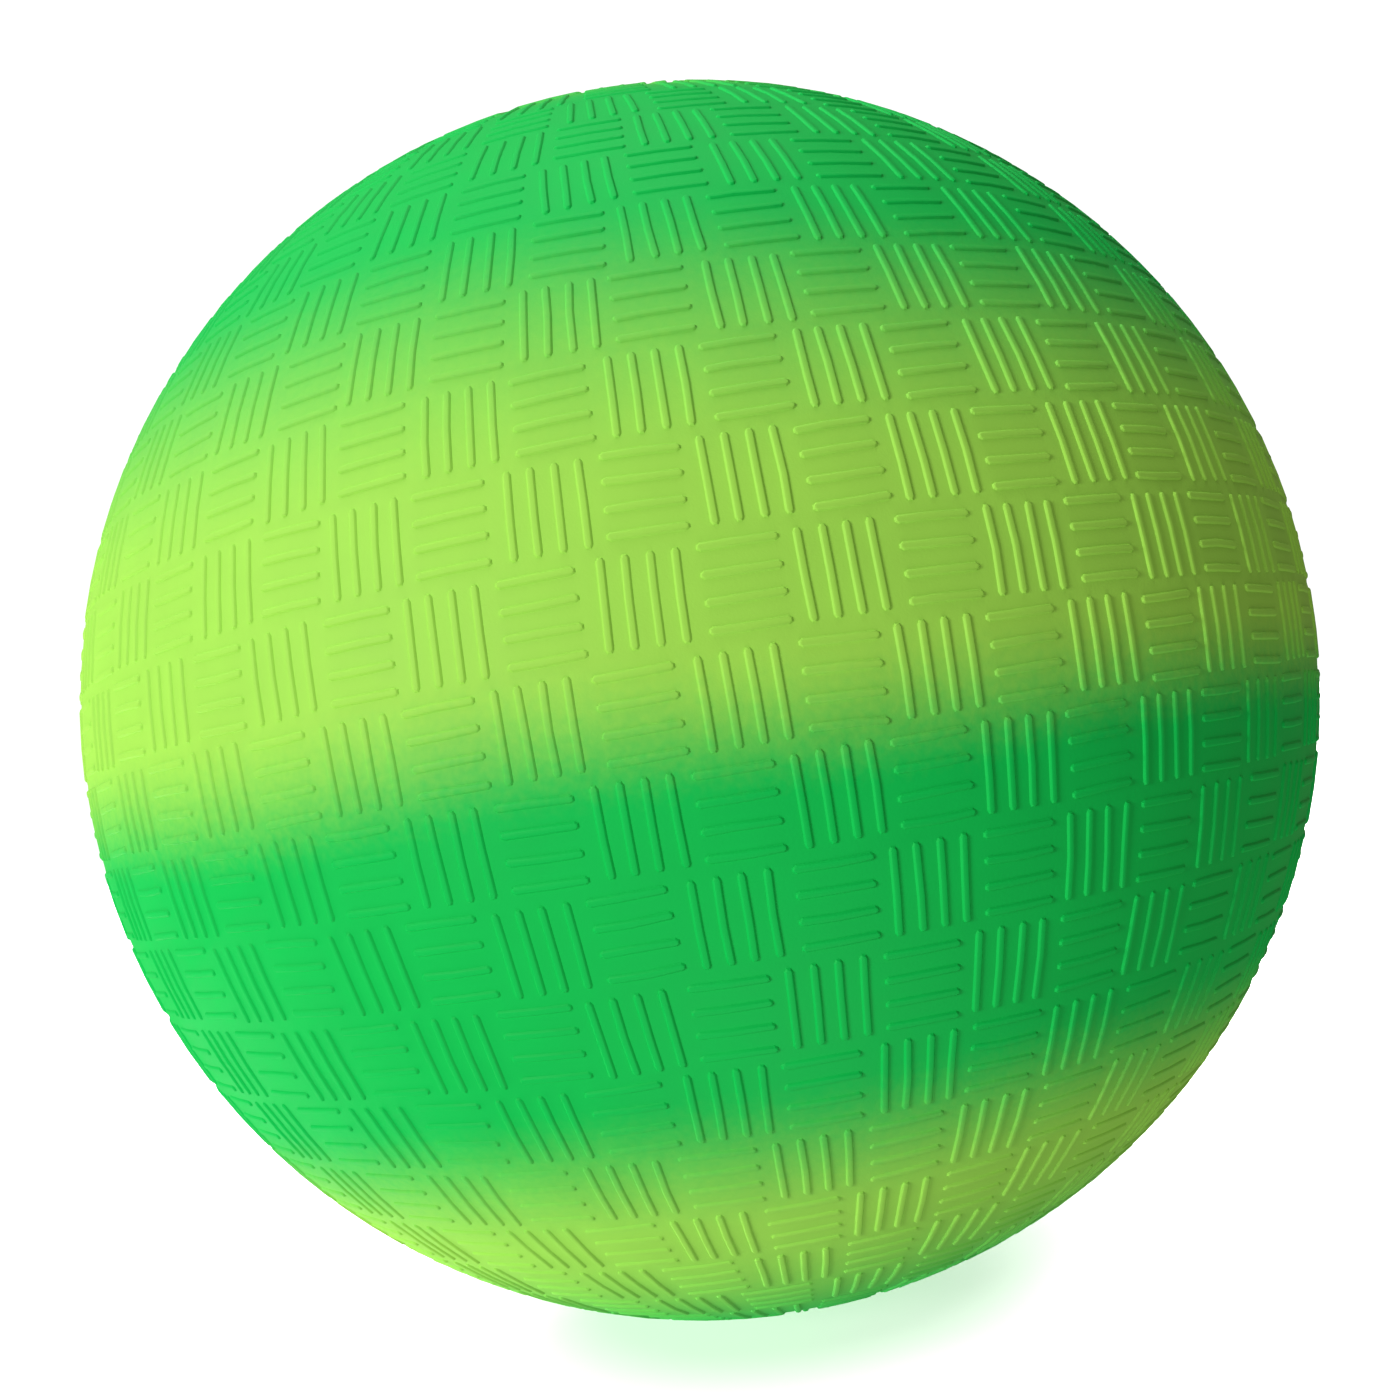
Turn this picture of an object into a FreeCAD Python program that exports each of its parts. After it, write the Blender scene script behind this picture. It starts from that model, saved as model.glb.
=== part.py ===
"""A playground rubber ball, 8.5 inches across, cut from the inside out into the pieces it is built from.

Frame: the origin is the ball's centre and +Z is the moulding axis, which comes out through the valve.
The wall is a nest of spherical layers: bladder, nylon winding, under ply and cover. The rubber valve
housing hangs inside the bladder at the +Z pole, and the self-sealing core slides in its bore.
The cover is modelled smooth, at the radius of the crests of its moulded ribs.
"""

import FreeCAD, Part
import os

# Driving dimensions, in millimetres.
BALL_RADIUS = 108.0  # half of 8.5 inches, over the ribs
COVER_WALL = 1.3  # to the crest of the ribs
UNDER_PLY_WALL = 0.5
WINDING_WALL = 0.3
BLADDER_WALL = 0.7

COVER_HOLE_RADIUS = 3.0
COVER_HOLE_CHAMFER = 0.6
PATCH_RADIUS = 9.0

NEEDLE_HOLE_RADIUS = 0.95  # grips a 2 mm inflating needle
NEEDLE_HOLE_DEPTH = 5.0
NEEDLE_LEAD_RADIUS = 1.6
NEEDLE_LEAD_DEPTH = 0.6

CORE_RADIUS = 2.75
CORE_LENGTH = 15.2
CORE_RECESS = 0.8  # from the crest of the ribs down to the core's face
CORE_CHAMFER = 0.35
CORE_GROOVE_DEPTH = 0.3
CORE_GROOVE_WIDTH = 1.2
CORE_GROOVE_STEPS = (4.0, 8.0)  # up from the core's foot

HOUSING_BORE_RADIUS = CORE_RADIUS + 0.05  # a running fit round the core
HOUSING_THROAT_RADIUS = 1.4
HOUSING_FLOOR = 2.0  # under the core's foot
HOUSING_NECK_RADIUS = 4.2
HOUSING_BOSS_RADIUS = 6.2
HOUSING_FLANGE_RADIUS = 15.0
HOUSING_FLANGE_WALL = 1.2  # at the boss
HOUSING_FLANGE_EDGE = 0.4  # at the rim
HOUSING_FILLET = 1.5

# Radii of the faces between the layers, from the outside in.
UNDER_PLY_RADIUS = BALL_RADIUS - COVER_WALL
WINDING_RADIUS = UNDER_PLY_RADIUS - UNDER_PLY_WALL
BLADDER_RADIUS = WINDING_RADIUS - WINDING_WALL
INSIDE_RADIUS = BLADDER_RADIUS - BLADDER_WALL

# Heights on the valve's axis.
CORE_TOP = BALL_RADIUS - CORE_RECESS
CORE_FOOT = CORE_TOP - CORE_LENGTH
HOUSING_FOOT = CORE_FOOT - HOUSING_FLOOR

CENTRE = FreeCAD.Vector(0, 0, 0)
UP = FreeCAD.Vector(0, 0, 1)


def at(radius, height):
    """A point of a section, by its distance from the axis and its height."""
    return FreeCAD.Vector(radius, 0, height)


def on_sphere(sphere_radius, radius):
    """The point of a section where a sphere about the ball's centre is that far from the axis."""
    return at(radius, (sphere_radius**2 - radius**2) ** 0.5)


def sphere_arc(sphere_radius, start_radius, end_radius):
    """The section's arc along a sphere about the ball's centre."""
    middle_radius = (start_radius + end_radius) / 2
    return Part.Arc(
        on_sphere(sphere_radius, start_radius),
        on_sphere(sphere_radius, middle_radius),
        on_sphere(sphere_radius, end_radius),
    ).toShape()


def lines(points):
    """The straight edges through a list of points."""
    return [Part.makeLine(a, b) for a, b in zip(points, points[1:])]


def turned(edges):
    """The solid that a closed section makes, turned about the valve's axis."""
    return Part.Face(Part.Wire(edges)).revolve(CENTRE, UP, 360)


def layer(outer_radius, inner_radius, hole_radius):
    """One spherical layer of the wall, with a round hole at the valve."""
    hole = Part.makeCylinder(hole_radius, BALL_RADIUS + 1)
    return Part.makeSphere(outer_radius).cut(Part.makeSphere(inner_radius)).cut(hole)


def make_cover():
    """The coloured outer ply. The mouth of its valve hole is chamfered."""
    mouth = Part.makeCone(
        COVER_HOLE_RADIUS,
        COVER_HOLE_RADIUS + 2 * COVER_HOLE_CHAMFER,
        2 * COVER_HOLE_CHAMFER,
        at(0, BALL_RADIUS - COVER_HOLE_CHAMFER),
    )
    return layer(BALL_RADIUS, UNDER_PLY_RADIUS, COVER_HOLE_RADIUS).cut(mouth)


def make_under_ply():
    """The plain rubber ply that beds the winding against the cover."""
    return layer(UNDER_PLY_RADIUS, WINDING_RADIUS, HOUSING_NECK_RADIUS)


def make_winding():
    """The nylon winding, as one thin shell. It leaves a round window at the valve."""
    return layer(WINDING_RADIUS, BLADDER_RADIUS, PATCH_RADIUS)


def make_bladder():
    """The butyl bladder that holds the air."""
    return layer(BLADDER_RADIUS, INSIDE_RADIUS, HOUSING_NECK_RADIUS)


def make_valve_patch():
    """The rubberised fabric disc that fills the winding's window round the valve's neck."""
    inner_edge = Part.makeLine(
        on_sphere(BLADDER_RADIUS, HOUSING_NECK_RADIUS), on_sphere(WINDING_RADIUS, HOUSING_NECK_RADIUS)
    )
    outer_edge = Part.makeLine(
        on_sphere(WINDING_RADIUS, PATCH_RADIUS), on_sphere(BLADDER_RADIUS, PATCH_RADIUS)
    )
    top = sphere_arc(WINDING_RADIUS, HOUSING_NECK_RADIUS, PATCH_RADIUS)
    bottom = sphere_arc(BLADDER_RADIUS, PATCH_RADIUS, HOUSING_NECK_RADIUS)
    return turned([inner_edge, top, outer_edge, bottom])


def make_valve_housing():
    """The valve's rubber seat: a neck through the wall, a dished flange under the bladder, a boss inside."""
    rim = on_sphere(INSIDE_RADIUS, HOUSING_FLANGE_RADIUS)
    root = on_sphere(INSIDE_RADIUS, HOUSING_BOSS_RADIUS)
    neck = Part.makeLine(
        on_sphere(UNDER_PLY_RADIUS, HOUSING_NECK_RADIUS), on_sphere(INSIDE_RADIUS, HOUSING_NECK_RADIUS)
    )
    underside_and_bore = lines(
        [
            rim,
            rim - UP * HOUSING_FLANGE_EDGE,
            root - UP * HOUSING_FLANGE_WALL,
            at(HOUSING_BOSS_RADIUS, HOUSING_FOOT),
            at(HOUSING_THROAT_RADIUS, HOUSING_FOOT),
            at(HOUSING_THROAT_RADIUS, CORE_FOOT),
            at(HOUSING_BORE_RADIUS, CORE_FOOT),
            on_sphere(UNDER_PLY_RADIUS, HOUSING_BORE_RADIUS),
        ]
    )
    neck_top = sphere_arc(UNDER_PLY_RADIUS, HOUSING_BORE_RADIUS, HOUSING_NECK_RADIUS)
    flange_top = sphere_arc(INSIDE_RADIUS, HOUSING_NECK_RADIUS, HOUSING_FLANGE_RADIUS)
    housing = turned([neck_top, neck, flange_top] + underside_and_bore)
    boss_edges = [
        edge
        for edge in housing.Edges
        if edge.Closed and abs(edge.BoundBox.XLength / 2 - HOUSING_BOSS_RADIUS) < 0.01
    ]
    return housing.makeFillet(HOUSING_FILLET, boss_edges)


def make_valve_core():
    """The self-sealing core: a grooved barrel with a blind hole that leads the needle in."""
    side = [at(CORE_RADIUS - CORE_CHAMFER, CORE_FOOT), at(CORE_RADIUS, CORE_FOOT + CORE_CHAMFER)]
    for step in CORE_GROOVE_STEPS:
        low = CORE_FOOT + step
        high = low + CORE_GROOVE_WIDTH
        waist = CORE_RADIUS - CORE_GROOVE_DEPTH
        side += [at(CORE_RADIUS, low), at(waist, low), at(waist, high), at(CORE_RADIUS, high)]
    side += [at(CORE_RADIUS, CORE_TOP - CORE_CHAMFER), at(CORE_RADIUS - CORE_CHAMFER, CORE_TOP)]
    needle_hole = [
        at(NEEDLE_LEAD_RADIUS, CORE_TOP),
        at(NEEDLE_HOLE_RADIUS, CORE_TOP - NEEDLE_LEAD_DEPTH),
        at(NEEDLE_HOLE_RADIUS, CORE_TOP - NEEDLE_HOLE_DEPTH),
        at(0, CORE_TOP - NEEDLE_HOLE_DEPTH),
    ]
    foot = at(0, CORE_FOOT)
    return turned(lines([foot] + side + needle_hole + [foot]))


PIECES = {
    "cover": make_cover,
    "under_ply": make_under_ply,
    "winding": make_winding,
    "bladder": make_bladder,
    "valve_patch": make_valve_patch,
    "valve_housing": make_valve_housing,
    "valve_core": make_valve_core,
}

os.makedirs("parts", exist_ok=True)
for name, make in PIECES.items():
    solid = make().Solids[0]
    box = solid.BoundBox
    print(
        f"{name}: valid {solid.isValid()}, {solid.Volume:.0f} mm3, across {box.XLength:.2f}, "
        f"z {box.ZMin:.2f} to {box.ZMax:.2f}"
    )
    solid.exportStep(f"parts/{name}.step")
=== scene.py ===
"""The looks of a playground rubber ball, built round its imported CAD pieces.

The cover is rebuilt as one closed skin: a smooth rubber sphere with a basket weave of moulded ribs. The
ribs stand in cells, four to a cell, along the meridians and the parallels in turn. The cells stand in rows
round the moulding axis, +Z, which also carries the valve. Soft bands of green and yellow-green follow the
rows. The winding and the valve's patch are rebuilt as threads and cloth, and the other pieces are CAD's own.
Lengths are in metres and angles in degrees, unless a name or a comment says otherwise.
"""

import math
import random

import bmesh
import bpy
from mathutils import Matrix, Vector, geometry


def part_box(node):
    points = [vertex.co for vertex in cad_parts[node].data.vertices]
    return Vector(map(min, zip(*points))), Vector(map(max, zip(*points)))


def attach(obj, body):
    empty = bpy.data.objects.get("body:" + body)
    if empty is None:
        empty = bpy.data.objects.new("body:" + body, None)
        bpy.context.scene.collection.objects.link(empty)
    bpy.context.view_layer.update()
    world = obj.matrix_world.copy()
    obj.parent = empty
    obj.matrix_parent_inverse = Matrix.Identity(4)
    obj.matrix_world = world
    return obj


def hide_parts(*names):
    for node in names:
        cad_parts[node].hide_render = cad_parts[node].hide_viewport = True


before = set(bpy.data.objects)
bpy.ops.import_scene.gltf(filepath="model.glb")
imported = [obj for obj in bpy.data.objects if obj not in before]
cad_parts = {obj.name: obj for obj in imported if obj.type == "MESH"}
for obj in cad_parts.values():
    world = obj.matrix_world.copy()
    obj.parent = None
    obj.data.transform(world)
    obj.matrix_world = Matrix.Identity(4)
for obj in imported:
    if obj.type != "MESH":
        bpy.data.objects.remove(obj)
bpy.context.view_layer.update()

MM = 0.001
BALL_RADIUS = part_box("cover")[1].x  # over the ribs
PLY_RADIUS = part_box("under_ply")[1].x
HOLE_RADIUS = 3.0 * MM  # of the cover's hole over the valve
RIB_HEIGHT = 0.34 * MM
SKIN_RADIUS = BALL_RADIUS - RIB_HEIGHT  # of the plain rubber between the ribs

# The moulded grip
ROWS = 26  # pole to pole, the first and last of which are smooth caps
# Cells go in pairs, one of upright ribs and one of level ribs. This many pairs would go round the equator.
PAIRS_AT_EQUATOR = 28
RIBS_PER_CELL = 4
UPRIGHT_PITCH = 3.0 * MM
UPRIGHT_SHARE = 0.89  # of the row's height, for the length of an upright rib
LEVEL_SHARE = 0.257  # of the row's height, for the pitch of the level ribs
LEVEL_LENGTH = 10.0 * MM
RIB_HALF_WIDTH = 0.56 * MM
SHOULDER_SHARE = 0.56  # of the half width, where a rib's flank turns into its crown
SHOULDER_RISE = 0.84  # of the rib's height
CIRCLE_STEP = 5.0  # of the equator, between the points of the circles that part the rows
CAP_POINTS = 64
CAP_EDGE = 11.8 * MM  # from the axis, where a cap's plain rubber begins
CAP_MIDDLE = 7.0 * MM
CAP_END = 3.5 * MM  # the last ring of the far cap, which a fan closes
LINING_RINGS = 30
LIP_DEPTH = 0.35 * MM  # down the valve hole, where its wall becomes straight

# How far the mould is out of true, as standard deviations: degrees for a cell's lean, and then millimetres.
CELL_LEAN = 1.2
CELL_DRIFT = 0.12
RIB_WAVE = 0.05
RIB_MIDDLE_DRIFT = 0.6  # of the middle point along its rib
RIB_FILL = (0.93, 0.03)  # the mean and the deviation of a rib's height, as shares of RIB_HEIGHT

ROW_SHIFT = 0.4  # of a pair of cells, how far round each row starts from the row above

chance = random.Random(8)


def sphere_point(radius, longitude, latitude):
    """A point on a sphere about the origin. Longitude 0 faces -Y, and 90 faces +X."""
    lon, lat = math.radians(longitude), math.radians(latitude)
    return Vector((math.cos(lat) * math.sin(lon), -math.cos(lat) * math.cos(lon), math.sin(lat))) * radius


def circle_latitude(circle):
    """The latitude of the circle above row number circle. The rows are all as high as each other."""
    return 90 - 180 * circle / ROWS


def row_latitude(row):
    return (circle_latitude(row) + circle_latitude(row + 1)) / 2


def row_height(row):
    """The row's height along the skin."""
    return math.radians(circle_latitude(row) - circle_latitude(row + 1)) * BALL_RADIUS


def row_pairs(row):
    """How many pairs of cells go round the row."""
    return round(PAIRS_AT_EQUATOR * math.cos(math.radians(row_latitude(row))))


def row_start(row):
    """Where the row's first upright cell stands, in pairs of cells round from the front."""
    return ROW_SHIFT * row


def row_seam(row):
    """The longitude of a gap between two cells at the back of the ball, where the row is cut open."""
    pair = 360 / row_pairs(row)
    half_way_round = round(row_pairs(row) / 2)
    return (row_start(row) + half_way_round + 0.25) * pair


def circle_longitudes(circle):
    """The longitudes of the points of the circle above row number circle, the seams beside it among them."""
    latitude = circle_latitude(circle)
    seams = sorted({row_seam(row) % 360 for row in (circle - 1, circle) if 0 < row < ROWS - 1})
    if circle in (1, ROWS - 1):
        return [(seams[0] + 360 * i / CAP_POINTS) % 360 for i in range(CAP_POINTS)]
    count = round(360 * math.cos(math.radians(latitude)) / CIRCLE_STEP)
    step = 360 / count
    even = [i * step for i in range(count)]
    clear = [x for x in even if all(abs((x - s + 180) % 360 - 180) > step / 3 for s in seams)]
    return sorted(clear + seams)


class Skin:
    """The vertices and faces of the cover, as they are added."""

    def __init__(self):
        self.points = []
        self.faces = []
        self.level = set()
        self.feet = set()
        self.shoulders = set()
        self.circles = {}

    def point(self, co, level=False):
        """Adds a point and returns its number. A level point is shaded as the plain sphere there."""
        self.points.append(co)
        number = len(self.points) - 1
        if level:
            self.level.add(number)
        return number

    def face(self, *corners):
        self.faces.append(corners)

    def bridge(self, ring_a, ring_b):
        """Quads between two closed rings with the same number of points."""
        for i in range(len(ring_a)):
            j = (i + 1) % len(ring_a)
            self.face(ring_a[i], ring_a[j], ring_b[j], ring_b[i])


def rib_outline(ends, half_width):
    """A round-ended bar in its cell's plane, as pairs of a point on the centre line and an offset from it."""
    start, middle, end = ends
    along = (end - start).normalized()
    across = Vector((-along.y, along.x))
    outline = [(p, across * half_width) for p in (start, middle, end)]
    for angle in (60, 120):
        turn = math.radians(angle)
        outline.append((end, (across * math.cos(turn) + along * math.sin(turn)) * half_width))
    outline += [(p, -across * half_width) for p in (end, middle, start)]
    for angle in (120, 60):
        turn = math.radians(angle)
        outline.append((start, (across * math.cos(turn) - along * math.sin(turn)) * half_width))
    return outline


def cell_to_sphere(longitude, latitude, centre_line, offset, radius):
    """A cell's point on a sphere. Centre lines close up towards the poles, and offsets keep their size."""
    lat = latitude + math.degrees((centre_line.y + offset.y) / BALL_RADIUS)
    row_reach = BALL_RADIUS * math.cos(math.radians(latitude))
    here_reach = BALL_RADIUS * math.cos(math.radians(lat))
    lon = longitude + math.degrees(centre_line.x / row_reach + offset.x / here_reach)
    return lon, lat, sphere_point(radius, lon, lat)


def straightened(latitude, ends):
    """A rib's centre line with its middle moved on to the great circle through its ends."""
    start, middle, end = ends
    half_turn = (end.x - start.x) / 2 / (BALL_RADIUS * math.cos(math.radians(latitude)))
    here = math.radians(latitude) + middle.y / BALL_RADIUS
    rise = math.atan(math.tan(here) / math.cos(half_turn)) - here
    return start, middle + Vector((0, rise * BALL_RADIUS)), end


def add_rib(skin, longitude, latitude, ends, height):
    """Adds one rib and returns its foot: the points' numbers, and their longitudes and latitudes."""
    ends = straightened(latitude, ends)
    foot, flat, shoulder = [], [], []
    for centre_line, offset in rib_outline(ends, RIB_HALF_WIDTH):
        lon, lat, co = cell_to_sphere(longitude, latitude, centre_line, offset, SKIN_RADIUS)
        foot.append(skin.point(co, level=True))
        skin.feet.add(foot[-1])
        flat.append((lon, lat))
    shoulder_radius = SKIN_RADIUS + height * SHOULDER_RISE
    for centre_line, offset in rib_outline(ends, RIB_HALF_WIDTH * SHOULDER_SHARE):
        co = cell_to_sphere(longitude, latitude, centre_line, offset, shoulder_radius)[2]
        shoulder.append(skin.point(co))
        skin.shoulders.add(shoulder[-1])
    none = Vector((0, 0))
    tops = [cell_to_sphere(longitude, latitude, end, none, SKIN_RADIUS + height)[2] for end in ends]
    crown = [skin.point(co, level=True) for co in tops]
    skin.bridge(foot, shoulder)
    # The outline goes three points up one side, two round the end, three down the other side and two round.
    for low, high, a, b in ((0, 1, 0, 1), (1, 2, 1, 2), (5, 6, 2, 1), (6, 7, 1, 0)):
        skin.face(shoulder[low], shoulder[high], crown[b], crown[a])
    for i, tip in ((2, 2), (3, 2), (4, 2), (7, 0), (8, 0), (9, 0)):
        skin.face(shoulder[i], shoulder[(i + 1) % len(shoulder)], crown[tip])
    return foot, flat


def cell_ribs(upright, height):
    """The centre lines of a cell's ribs: three points each, a little out of true as the mould is."""
    length = height * UPRIGHT_SHARE if upright else LEVEL_LENGTH
    pitch = UPRIGHT_PITCH if upright else height * LEVEL_SHARE
    reach = length / 2 - RIB_HALF_WIDTH
    lean = Matrix.Rotation(math.radians(chance.gauss(0, CELL_LEAN)), 2)
    drift = Vector((chance.gauss(0, CELL_DRIFT), chance.gauss(0, CELL_DRIFT))) * MM
    ribs = []
    for i in range(RIBS_PER_CELL):
        side = (i - (RIBS_PER_CELL - 1) / 2) * pitch
        points = []
        for along in (-reach, chance.gauss(0, RIB_MIDDLE_DRIFT) * MM, reach):
            wave = side + chance.gauss(0, RIB_WAVE) * MM
            point = Vector((wave, along)) if upright else Vector((along, wave))
            points.append(lean @ point + drift)
        ribs.append(points)
    return ribs


def add_row(skin, row):
    """One row of cells, with the smooth skin between their ribs."""
    latitude, pairs, seam = row_latitude(row), row_pairs(row), row_seam(row)
    squeeze = math.cos(math.radians(latitude))
    numbers, flat, edges, feet = [], [], [], []

    def add_chain(chain):
        first = len(numbers)
        for number, lon, lat in chain:
            numbers.append(number)
            flat.append(Vector(((lon - seam) * squeeze, lat)))
        return list(range(first, len(numbers)))

    ends = []
    for circle in (row, row + 1):
        lat = circle_latitude(circle)
        chain = []
        for lon, number in skin.circles[circle].items():
            turn = (lon - seam) % 360
            if min(turn, 360 - turn) < 1e-6:
                chain += [(number, seam, lat), (number, seam + 360, lat)]
            else:
                chain.append((number, seam + turn, lat))
        chain.sort(key=lambda entry: entry[1])
        placed = add_chain(chain)
        edges += zip(placed, placed[1:])
        ends.append((placed[0], placed[-1]))
    edges += [(ends[0][0], ends[1][0]), (ends[0][1], ends[1][1])]

    for cell in range(2 * pairs):
        lon = (row_start(row) + cell / 2) * 360 / pairs
        lon = seam + (lon - seam) % 360
        for line in cell_ribs(cell % 2 == 0, row_height(row)):
            height = RIB_HEIGHT * min(1.0, chance.gauss(*RIB_FILL))
            foot, places = add_rib(skin, lon, latitude, line, height)
            outline = [(number, x, y) for number, (x, y) in zip(foot, places)]
            feet.append(add_chain(reversed(outline)))

    made = geometry.delaunay_2d_cdt(flat, edges, feet, 0, 1e-7)
    _, _, triangles, from_points, _, from_faces = made
    for triangle, inside in zip(triangles, from_faces):
        if not inside:
            corners = [numbers[from_points[v][0]] for v in triangle]
            skin.face(*corners)


def add_rings(skin, first_ring, profile, up):
    """Adds the rings of a profile of (distance from the axis, height), on from a ring. Returns the last."""
    longitudes = [math.atan2(skin.points[n].x, -skin.points[n].y) for n in first_ring]
    ring = first_ring
    for reach, height in profile:
        following = [
            skin.point(Vector((math.sin(lon) * reach, -math.cos(lon) * reach, up * height)))
            for lon in longitudes
        ]
        skin.bridge(ring, following)
        ring = following
    return ring


def on_skin(reach, rise=0.0, radius=None):
    """A profile point on the skin, or that far above it, at a distance from the axis."""
    sphere = (radius or SKIN_RADIUS) + rise
    return reach, math.sqrt(sphere**2 - reach**2)


def cap_profile():
    """The smooth cap in from its edge: a low moulded ring, then the plain rubber inside it."""
    bead = [(10.5, 0.0), (10.2, 0.16), (9.9, 0.27), (9.6, 0.31), (9.3, 0.27), (9.0, 0.16), (8.7, 0.0)]
    ring = [on_skin(reach * MM, rise * MM) for reach, rise in bead]
    return [on_skin(CAP_EDGE)] + ring + [on_skin(CAP_MIDDLE)]


def valve_mouth_profile():
    """A rounded lip round the valve hole, down the hole's wall to the cover's inside."""
    lip = [(5.4, 0.0), (4.9, 0.08), (4.4, 0.24), (4.0, 0.31), (3.6, 0.29), (3.25, 0.16), (3.06, -0.06)]
    wall = [(HOLE_RADIUS, SKIN_RADIUS - LIP_DEPTH), on_skin(HOLE_RADIUS, radius=PLY_RADIUS)]
    return [on_skin(reach * MM, rise * MM) for reach, rise in lip] + wall


def lining_profile():
    """The cover's inside, from the valve hole round towards the far pole."""
    start = math.asin(HOLE_RADIUS / PLY_RADIUS)
    steps = range(1, LINING_RINGS + 1)
    angles = [start + (math.pi - start) * step / (LINING_RINGS + 1) for step in steps]
    return [(PLY_RADIUS * math.sin(a), PLY_RADIUS * math.cos(a)) for a in angles]


def close_pole(skin, ring, height):
    """A fan that closes a ring at a pole."""
    pole = skin.point(Vector((0, 0, height)))
    for i in range(len(ring)):
        skin.face(ring[i], ring[(i + 1) % len(ring)], pole)


def make_cover_skin():
    """The whole cover as one closed mesh."""
    skin = Skin()
    for circle in range(1, ROWS):
        lat = circle_latitude(circle)
        skin.circles[circle] = {
            lon: skin.point(sphere_point(SKIN_RADIUS, lon, lat), level=True)
            for lon in circle_longitudes(circle)
        }
    for row in range(1, ROWS - 1):
        add_row(skin, row)

    top = list(skin.circles[1].values())
    mouth = add_rings(skin, top, cap_profile() + valve_mouth_profile(), 1)
    lining = add_rings(skin, mouth, lining_profile(), 1)
    close_pole(skin, lining, -PLY_RADIUS)
    low = list(skin.circles[ROWS - 1].values())
    bottom = add_rings(skin, low, cap_profile() + [on_skin(CAP_END)], -1)
    close_pole(skin, bottom, -SKIN_RADIUS)

    piece = add_mesh("cover_skin", skin.points, skin.faces)
    shade_skin(skin, piece.data)
    return piece


def shade_skin(skin, mesh):
    """Shades the skin between the ribs as one true sphere, with a crease at the foot of each rib's flank."""
    normals = []
    for face in mesh.polygons:
        corners = list(face.vertices)
        flank = not skin.feet.isdisjoint(corners) and not skin.level.issuperset(corners)
        for number in corners:
            if flank and number in skin.feet:
                normals.append(face.normal.copy())
            elif number in skin.level:
                normals.append(skin.points[number].normalized())
            elif number in skin.shoulders and not flank:
                outwards = skin.points[number].normalized()
                normals.append((outwards * 2 + mesh.vertices[number].normal).normalized())
            else:
                normals.append(mesh.vertices[number].normal.copy())
    mesh.normals_split_custom_set(normals)


def add_mesh(name, points, faces):
    """A new smooth object of closed meshes, with every face turned outwards."""
    mesh = bpy.data.meshes.new(name)
    mesh.from_pydata(points, [], faces)
    shell = bmesh.new()
    shell.from_mesh(mesh)
    bmesh.ops.recalc_face_normals(shell, faces=shell.faces)
    for face in shell.faces:
        face.smooth = True
    shell.to_mesh(mesh)
    print(name, "faces", len(shell.faces), "triangles", sum(len(f.verts) - 2 for f in shell.faces),
          "open edges", sum(not edge.is_manifold for edge in shell.edges))
    shell.free()
    piece = bpy.data.objects.new(name, mesh)
    bpy.context.scene.collection.objects.link(piece)
    return piece


# --- the layers under the cover ----------------------------------------------------------------------------

WINDING_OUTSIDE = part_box("winding")[1].x
WINDING_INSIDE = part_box("bladder")[1].x
THREAD_RADIUS = 0.11 * MM
THREAD_BED = 0.12 * MM  # the bonded film under the threads
THREAD_SINK = 0.06  # in millimetres, how far a thread may lie under the topmost
THREAD_TURNS = 84
THREAD_POINTS = 96
THREAD_MISS = 6.5  # how near to the pole a thread may come
WINDOW_RADIUS = 9.0 * MM  # of the winding's opening round the valve, which the patch fills
NECK_RADIUS = 4.2 * MM
YARN_RADIUS = 0.07 * MM
YARN_PITCH = 0.45 * MM
CLOTH_FILM = 0.04 * MM  # half the thickness of the rubber film in the cloth


def add_tube(points, faces, path, sideways, radius, sides, closed):
    """Adds a tube along a path round the ball's centre. Sideways is across the path and along the skin."""
    first = len(points)
    for place, across in zip(path, sideways):
        outwards = place.normalized()
        for k in range(sides):
            angle = math.tau * k / sides
            points.append(place + (across * math.cos(angle) + outwards * math.sin(angle)) * radius)
    rings = [list(range(first + i * sides, first + (i + 1) * sides)) for i in range(len(path))]
    for a, b in zip(rings, rings[1:] + rings[:1] if closed else rings[1:]):
        for k in range(sides):
            j = (k + 1) % sides
            faces.append((a[k], a[j], b[j], b[k]))
    if not closed:
        faces.append(rings[0])
        faces.append(rings[-1])


def add_film(points, faces, outside, inside, hole, steps, around):
    """Adds a thin closed shell round the valve. Steps are degrees from the pole: None is the hole's edge."""
    profile = []
    for radius, angles in ((outside, steps), (inside, list(reversed(steps)))):
        for angle in angles:
            lean = math.asin(hole / radius) if angle is None else math.radians(angle)
            profile.append((radius * math.sin(lean), radius * math.cos(lean)))
    first = len(points)
    for i in range(around):
        turn = math.tau * i / around
        for reach, height in profile:
            points.append(Vector((math.sin(turn) * reach, -math.cos(turn) * reach, height)))
    count = len(profile)
    for i in range(around):
        a, b = first + i * count, first + (i + 1) % around * count
        for k in range(count):
            j = (k + 1) % count
            faces.append((a + k, a + j, b + j, b + k))


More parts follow.
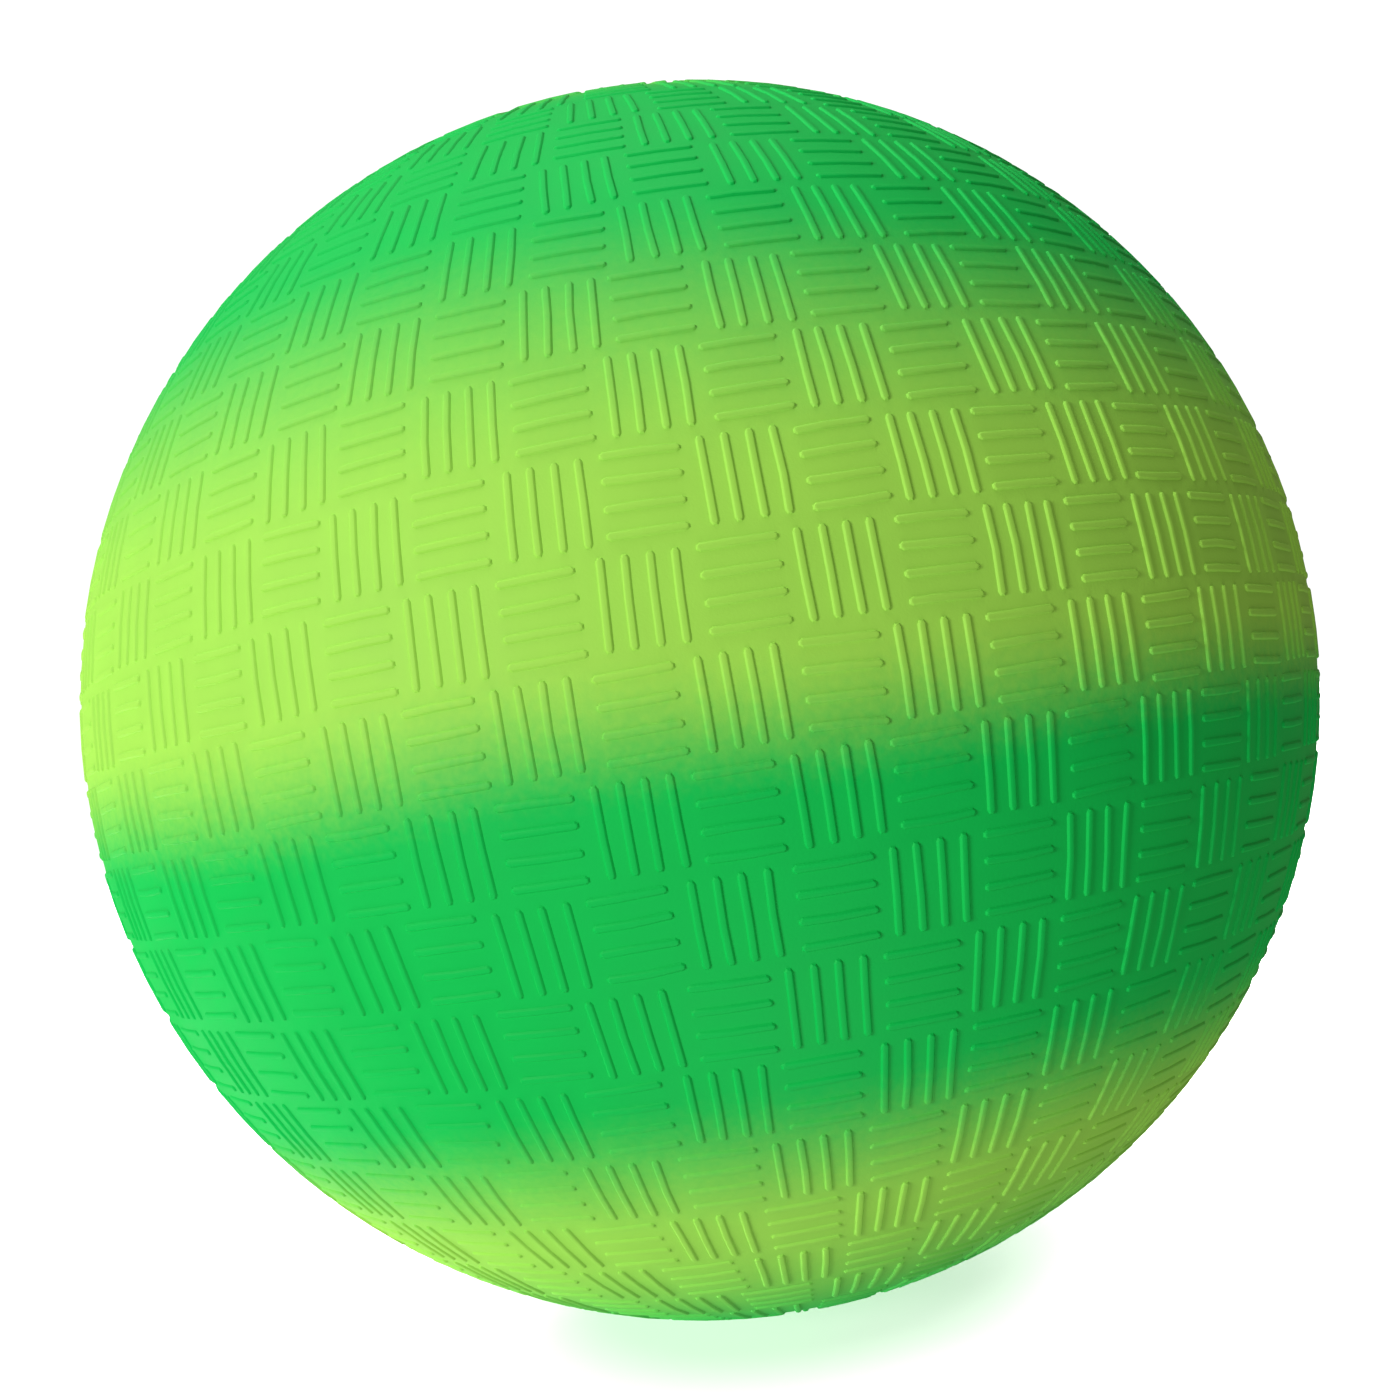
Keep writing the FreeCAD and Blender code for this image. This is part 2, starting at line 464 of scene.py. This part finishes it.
def make_winding():
    """Nylon thread wound round the bladder in great circles that miss the valve, on a thin bonded film."""
    points, faces = [], []
    bed = WINDING_INSIDE + THREAD_BED
    add_film(points, faces, bed, WINDING_INSIDE, WINDOW_RADIUS, [None] + list(range(8, 180, 4)) + [179.9], 72)
    nearest = math.sin(math.radians(THREAD_MISS))
    made = 0
    while made < THREAD_TURNS:
        height = chance.uniform(-1, 1)
        turn = chance.uniform(0, math.tau)
        if abs(height) < nearest:
            continue
        flat = math.sqrt(1 - height**2)
        axis = Vector((flat * math.cos(turn), flat * math.sin(turn), height))
        u = axis.orthogonal().normalized()
        v = axis.cross(u)
        radius = WINDING_OUTSIDE - THREAD_RADIUS - chance.uniform(0, THREAD_SINK) * MM
        path = []
        for i in range(THREAD_POINTS):
            angle = math.tau * i / THREAD_POINTS
            path.append((u * math.cos(angle) + v * math.sin(angle)) * radius)
        add_tube(points, faces, path, [axis] * THREAD_POINTS, THREAD_RADIUS, 4, closed=True)
        made += 1
    return add_mesh("winding_threads", points, faces)


def make_patch():
    """A disc of plain-woven cloth round the valve's neck, dished to the bladder."""
    points, faces = [], []
    middle = (WINDING_OUTSIDE + WINDING_INSIDE) / 2
    edge = math.degrees(math.asin(WINDOW_RADIUS / middle))
    steps = [None] + [edge * k / 6 for k in (3.5, 4, 5, 6)]
    add_film(points, faces, middle + CLOTH_FILM, middle - CLOTH_FILM, NECK_RADIUS, steps, 64)
    reach = WINDOW_RADIUS - YARN_RADIUS * 2
    lanes = int(reach / YARN_PITCH)
    for across in (False, True):
        for lane in range(-lanes, lanes + 1):
            offset = lane * YARN_PITCH
            run = []
            for step in range(-2 * lanes - 2, 2 * lanes + 3):
                along = step * YARN_PITCH / 2
                x, y = (offset, along) if across else (along, offset)
                here = math.hypot(x, y)
                if NECK_RADIUS + YARN_RADIUS * 2 < here < reach:
                    wave = math.cos(math.pi * (along / YARN_PITCH + lane + across))
                    sphere = middle + wave * YARN_RADIUS
                    run.append(Vector((x, y, math.sqrt(middle**2 - here**2))).normalized() * sphere)
                    continue
                add_yarn(points, faces, run, across)
                run = []
            add_yarn(points, faces, run, across)
    return add_mesh("patch_cloth", points, faces)


def add_yarn(points, faces, run, across):
    """Adds one yarn of the cloth, if its run has any length."""
    if len(run) < 3:
        return
    sideways = [Vector((1, 0, 0)) if across else Vector((0, 1, 0))] * len(run)
    add_tube(points, faces, run, sideways, YARN_RADIUS, 6, closed=False)


# --- camera, light and floor -------------------------------------------------------------------------------

VIEW_SINE = 0.39  # the ball's radius over the camera's distance
VIEW_TILT = math.radians(-3.2)  # the valve's pole leans this far away from the camera
VIEW_ROLL = math.radians(9.5)  # and this far to the left
BALL_SHARE = 0.887  # of the picture's half width that the ball fills
FLOOR_REACH = 60.0
FLOOR_LIGHT_SPREAD = math.radians(110)

# Soft round lamps: azimuth, elevation, power in watts, distance and diameter. Azimuth -90 is on the left.
LAMPS = {
    "key": (-45, 10, 40, 2.5, 0.9),
    "left_high": (-90, 45, 3, 1.2, 0.9),
    "left_low": (-120, -30, 12, 1.2, 0.9),
    "top": (0, 80, 5, 1.2, 0.9),
    "front_low": (0, -60, 4, 1.2, 0.9),
    "back": (160, 15, 15, 2.5, 0.7),
}
GLARE_FREE = "left_low"  # the lamp that would otherwise show as a pale streak along the ball's rim
# Suns for the floor alone: their power, and whether the ball shades them.
FLOOR_SUNS = {"floor_sun": (6, True), "floor_fill": (7, False)}
BACKDROP_STRENGTH = 1.1
FILL_COLOUR = (1, 0.88, 0.7, 1)
FILL_STRENGTH = 0.2


def make_camera():
    data = bpy.data.cameras.new("camera")
    camera = bpy.data.objects.new("camera", data)
    bpy.context.scene.collection.objects.link(camera)
    sin_t, cos_t = math.sin(VIEW_TILT), math.cos(VIEW_TILT)
    sin_r, cos_r = math.sin(VIEW_ROLL), math.cos(VIEW_ROLL)
    right = Vector((cos_r, -sin_t * sin_r, -cos_t * sin_r))
    up = Vector((sin_r, sin_t * cos_r, cos_t * cos_r))
    back = Vector((0, -cos_t, sin_t))
    place = back * (BALL_RADIUS / VIEW_SINE)
    camera.matrix_world = Matrix.Translation(place) @ Matrix((right, up, back)).transposed().to_4x4()
    half_view = VIEW_SINE / math.sqrt(1 - VIEW_SINE**2) / BALL_SHARE
    data.lens = data.sensor_width / 2 / half_view
    data.clip_start = 0.01
    bpy.context.scene.camera = camera


def make_lamp(name, azimuth, elevation, power, distance, size):
    """A soft round lamp that faces the ball."""
    data = bpy.data.lights.new(name, "AREA")
    data.shape = "DISK"
    data.size = size
    data.energy = power
    lamp = bpy.data.objects.new(name, data)
    bpy.context.scene.collection.objects.link(lamp)
    lamp.location = sphere_point(distance, azimuth, elevation)
    lamp.rotation_euler = lamp.location.to_track_quat("Z", "Y").to_euler()
    lamp.visible_camera = False
    lamp.visible_glossy = name != GLARE_FREE


def light_only(lamp, item):
    """Keeps a lamp's light to one object. All the others still cast shadows in it."""
    receivers = bpy.data.collections.new(lamp.name + "_receivers")
    receivers.objects.link(item)
    lamp.light_linking.receiver_collection = receivers


def make_floor():
    """A white floor without an edge in view. Lamps stand for the light that it throws back on the ball."""
    mesh = bpy.data.meshes.new("floor")
    reach, low = FLOOR_REACH, -SKIN_RADIUS
    corners = [(-reach, -reach, low), (reach, -reach, low), (reach, reach, low), (-reach, reach, low)]
    mesh.from_pydata(corners, [], [(0, 1, 2, 3)])
    floor = bpy.data.objects.new("floor", mesh)
    bpy.context.scene.collection.objects.link(floor)
    floor.visible_diffuse = False
    floor.visible_glossy = False
    floor.visible_shadow = False
    mesh.materials.append(new_material("pale_floor", (0.85, 0.85, 0.85), 0.9)[0])
    return floor


def make_world():
    """A white backdrop, which lights the ball only dimly and warmly."""
    world = bpy.data.worlds.new("studio")
    world.use_nodes = True
    nodes, links = world.node_tree.nodes, world.node_tree.links
    backdrop = nodes["Background"]
    backdrop.inputs["Color"].default_value = (1, 1, 1, 1)
    backdrop.inputs["Strength"].default_value = BACKDROP_STRENGTH
    fill = nodes.new("ShaderNodeBackground")
    fill.inputs["Color"].default_value = FILL_COLOUR
    fill.inputs["Strength"].default_value = FILL_STRENGTH
    path = nodes.new("ShaderNodeLightPath")
    choose = nodes.new("ShaderNodeMixShader")
    links.new(path.outputs["Is Camera Ray"], choose.inputs["Fac"])
    links.new(fill.outputs[0], choose.inputs[1])
    links.new(backdrop.outputs[0], choose.inputs[2])
    links.new(choose.outputs[0], nodes["World Output"].inputs["Surface"])
    bpy.context.scene.world = world


def make_lights(floor):
    for name, settings in LAMPS.items():
        make_lamp(name, *settings)
    for name, (power, shaded) in FLOOR_SUNS.items():
        data = bpy.data.lights.new(name, "SUN")
        data.energy = power
        data.angle = FLOOR_LIGHT_SPREAD
        data.use_shadow = shaded
        sun = bpy.data.objects.new(name, data)
        bpy.context.scene.collection.objects.link(sun)
        light_only(sun, floor)


# --- materials ---------------------------------------------------------------------------------------------

def new_material(name, colour, roughness, specular=0.3):
    """A material with one colour and one roughness, and its nodes, links and shader."""
    material = bpy.data.materials.new(name)
    material.use_nodes = True
    nodes, links = material.node_tree.nodes, material.node_tree.links
    shader = nodes["Principled BSDF"]
    shader.inputs["Base Color"].default_value = (*colour, 1)
    shader.inputs["Roughness"].default_value = roughness
    shader.inputs["Specular IOR Level"].default_value = specular
    return material, nodes, links, shader


def add_math(nodes, links, operation, *values):
    """A math node. A value is a number or another node's output."""
    node = nodes.new("ShaderNodeMath")
    node.operation = operation
    for socket, value in zip(node.inputs, values):
        if isinstance(value, (int, float)):
            socket.default_value = value
        else:
            links.new(value, socket)
    return node.outputs[0]


def add_noise(nodes, links, scale, detail):
    """Noise in object coordinates, from 0 to 1, with so many waves to the metre."""
    place = nodes.new("ShaderNodeTexCoord")
    noise = nodes.new("ShaderNodeTexNoise")
    noise.inputs["Scale"].default_value = scale
    noise.inputs["Detail"].default_value = detail
    links.new(place.outputs["Object"], noise.inputs["Vector"])
    return noise.outputs["Fac"]


def add_range(nodes, links, value, low, high):
    """Maps a value between 0 and 1 to one between low and high."""
    span = nodes.new("ShaderNodeMapRange")
    span.inputs["To Min"].default_value = low
    span.inputs["To Max"].default_value = high
    links.new(value, span.inputs["Value"])
    return span.outputs["Result"]


def add_bump(nodes, links, shader, height, depth):
    """Bumps a material by a height between 0 and 1 times a depth in metres."""
    bump = nodes.new("ShaderNodeBump")
    bump.inputs["Strength"].default_value = 1.0
    bump.inputs["Distance"].default_value = depth
    links.new(height, bump.inputs["Height"])
    links.new(bump.outputs[0], shader.inputs["Normal"])


def add_shade(nodes, links, colour, value, low, high):
    """Multiplies a colour by a value between 0 and 1, mapped to one between low and high."""
    shade = nodes.new("ShaderNodeVectorMath")
    shade.operation = "SCALE"
    links.new(colour, shade.inputs[0])
    links.new(add_range(nodes, links, value, low, high), shade.inputs["Scale"])
    return shade.outputs[0]


GREEN = (0.0, 0.60, 0.092)
YELLOW_GREEN = (0.40, 0.83, 0.098)
# The share of green at latitudes up the ball. The colour eases from each to the next.
BANDS = (
    (-90, 0.9), (-70, 0.9), (-45, 0.1), (-30, 1.0), (-10, 1.0), (0, 0.0),
    (10, 0.0), (35, 1.0), (55, 1.0), (80, 0.0), (90, 0.0),
)
BAND_LEAN = math.radians(1.8)  # of the sprayed bands' axis from the moulding's, towards +X
BAND_FAN = math.radians(5.5)  # how far the bands above and below the equator spread apart towards -X
BAND_WOBBLE = math.radians(3)
BAND_SPECKLE = math.radians(1)
# Noise scales, in waves to the metre
WOBBLE_SCALE = 9
SPECKLE_SCALE = 900
MOTTLE_SCALE = 120
BLOOM_SCALE = 160
FLECK_SCALE = 700
COVER_GRAIN = 2600
TWIST_GRAIN = 9000
FINE_DEPTH = 0.02 * MM  # of the cover's grain and the thread's twist
COARSE_DEPTH = 0.04 * MM  # of the plain rubber's grain
NYLON = (0.62, 0.60, 0.52)
CLOTH = (0.42, 0.38, 0.30)


def add_band_colour(nodes, links):
    """The sprayed bands: the point's latitude about a leaning axis, with a slow wobble and a fine speckle."""
    place = nodes.new("ShaderNodeTexCoord")
    direction = nodes.new("ShaderNodeVectorMath")
    direction.operation = "NORMALIZE"
    links.new(place.outputs["Object"], direction.inputs[0])
    along = nodes.new("ShaderNodeVectorMath")
    along.operation = "DOT_PRODUCT"
    along.inputs[1].default_value = (math.sin(BAND_LEAN), 0, math.cos(BAND_LEAN))
    links.new(direction.outputs[0], along.inputs[0])
    latitude = add_math(nodes, links, "ARCSINE", along.outputs["Value"])
    wobble = add_range(nodes, links, add_noise(nodes, links, WOBBLE_SCALE, 1), -BAND_WOBBLE, BAND_WOBBLE)
    speckle = add_noise(nodes, links, SPECKLE_SCALE, 1)
    speckle = add_range(nodes, links, speckle, -BAND_SPECKLE, BAND_SPECKLE)
    parts = nodes.new("ShaderNodeSeparateXYZ")
    links.new(direction.outputs[0], parts.inputs[0])
    fan = add_math(nodes, links, "MULTIPLY", parts.outputs["X"], parts.outputs["Z"])
    fanned = add_math(nodes, links, "MULTIPLY_ADD", fan, BAND_FAN, latitude)
    shifted = add_math(nodes, links, "ADD", fanned, add_math(nodes, links, "ADD", wobble, speckle))
    share = add_math(nodes, links, "MULTIPLY_ADD", shifted, 1 / math.pi, 0.5)
    ramp = nodes.new("ShaderNodeValToRGB")
    ramp.color_ramp.interpolation = "EASE"
    elements = ramp.color_ramp.elements
    for _ in range(len(BANDS) - len(elements)):
        elements.new(0.5)
    for element, (degrees, green) in zip(elements, BANDS):
        element.position = degrees / 180 + 0.5
        mixed = [g * green + y * (1 - green) for g, y in zip(GREEN, YELLOW_GREEN)]
        element.color = (*mixed, 1)
    links.new(share, ramp.inputs["Fac"])
    return ramp.outputs["Color"]


def cover_material():
    """Matt moulded rubber: coloured bands, faint mottling and the fine grain of the mould."""
    material, nodes, links, shader = new_material("cover_rubber", YELLOW_GREEN, 0.62, 0.2)
    mottle = add_noise(nodes, links, MOTTLE_SCALE, 3)
    colour = add_shade(nodes, links, add_band_colour(nodes, links), mottle, 0.95, 1.05)
    links.new(colour, shader.inputs["Base Color"])
    links.new(add_range(nodes, links, mottle, 0.54, 0.70), shader.inputs["Roughness"])
    add_bump(nodes, links, shader, add_noise(nodes, links, COVER_GRAIN, 2), FINE_DEPTH)
    return material


def rubber_material(name, colour, roughness, grain):
    """Plain rubber with cloudy bloom and a fine grain, given in waves to the metre."""
    material, nodes, links, shader = new_material(name, colour, roughness)
    flat = nodes.new("ShaderNodeRGB")
    flat.outputs[0].default_value = (*colour, 1)
    bloom = add_noise(nodes, links, BLOOM_SCALE, 4)
    links.new(add_shade(nodes, links, flat.outputs[0], bloom, 0.75, 1.3), shader.inputs["Base Color"])
    links.new(add_range(nodes, links, bloom, roughness - 0.1, roughness + 0.12), shader.inputs["Roughness"])
    add_bump(nodes, links, shader, add_noise(nodes, links, grain, 2), COARSE_DEPTH)
    return material


def thread_material(name, colour):
    """Twisted nylon: a low sheen, slight colour changes along it, and the ply of the twist as a fine bump."""
    material, nodes, links, shader = new_material(name, colour, 0.5, 0.4)
    shader.inputs["Sheen Weight"].default_value = 0.3
    flat = nodes.new("ShaderNodeRGB")
    flat.outputs[0].default_value = (*colour, 1)
    fleck = add_noise(nodes, links, FLECK_SCALE, 3)
    links.new(add_shade(nodes, links, flat.outputs[0], fleck, 0.7, 1.25), shader.inputs["Base Color"])
    links.new(add_range(nodes, links, fleck, 0.4, 0.65), shader.inputs["Roughness"])
    add_bump(nodes, links, shader, add_noise(nodes, links, TWIST_GRAIN, 1), FINE_DEPTH)
    return material


# --- the scene ---------------------------------------------------------------------------------------------

def place(piece, node, body, slot, material):
    """Gives a piece its material and its body, and hides the CAD node that it stands for. The slot is not
    used.
    """
    piece.data.materials.append(material)
    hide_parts(node)
    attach(piece, body)


bpy.context.scene.view_settings.view_transform = "Standard"
make_camera()
make_world()
make_lights(make_floor())

place(make_cover_skin(), "cover", "ball", "cover_rubber", cover_material())
place(make_winding(), "winding", "ball", "nylon_thread", thread_material("nylon_thread", NYLON))
place(make_patch(), "valve_patch", "ball", "patch_fabric", thread_material("patch_fabric", CLOTH))

PLAIN_NODES = {
    "under_ply": rubber_material("ply_rubber", (0.50, 0.40, 0.24), 0.7, 1800),
    "bladder": rubber_material("butyl", (0.025, 0.025, 0.027), 0.5, 1400),
    "valve_housing": rubber_material("housing_rubber", (0.05, 0.05, 0.052), 0.55, 2400),
    "valve_core": rubber_material("core_rubber", (0.02, 0.02, 0.021), 0.45, 3000),
}
for node, material in PLAIN_NODES.items():
    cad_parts[node].data.materials.clear()
    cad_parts[node].data.materials.append(material)
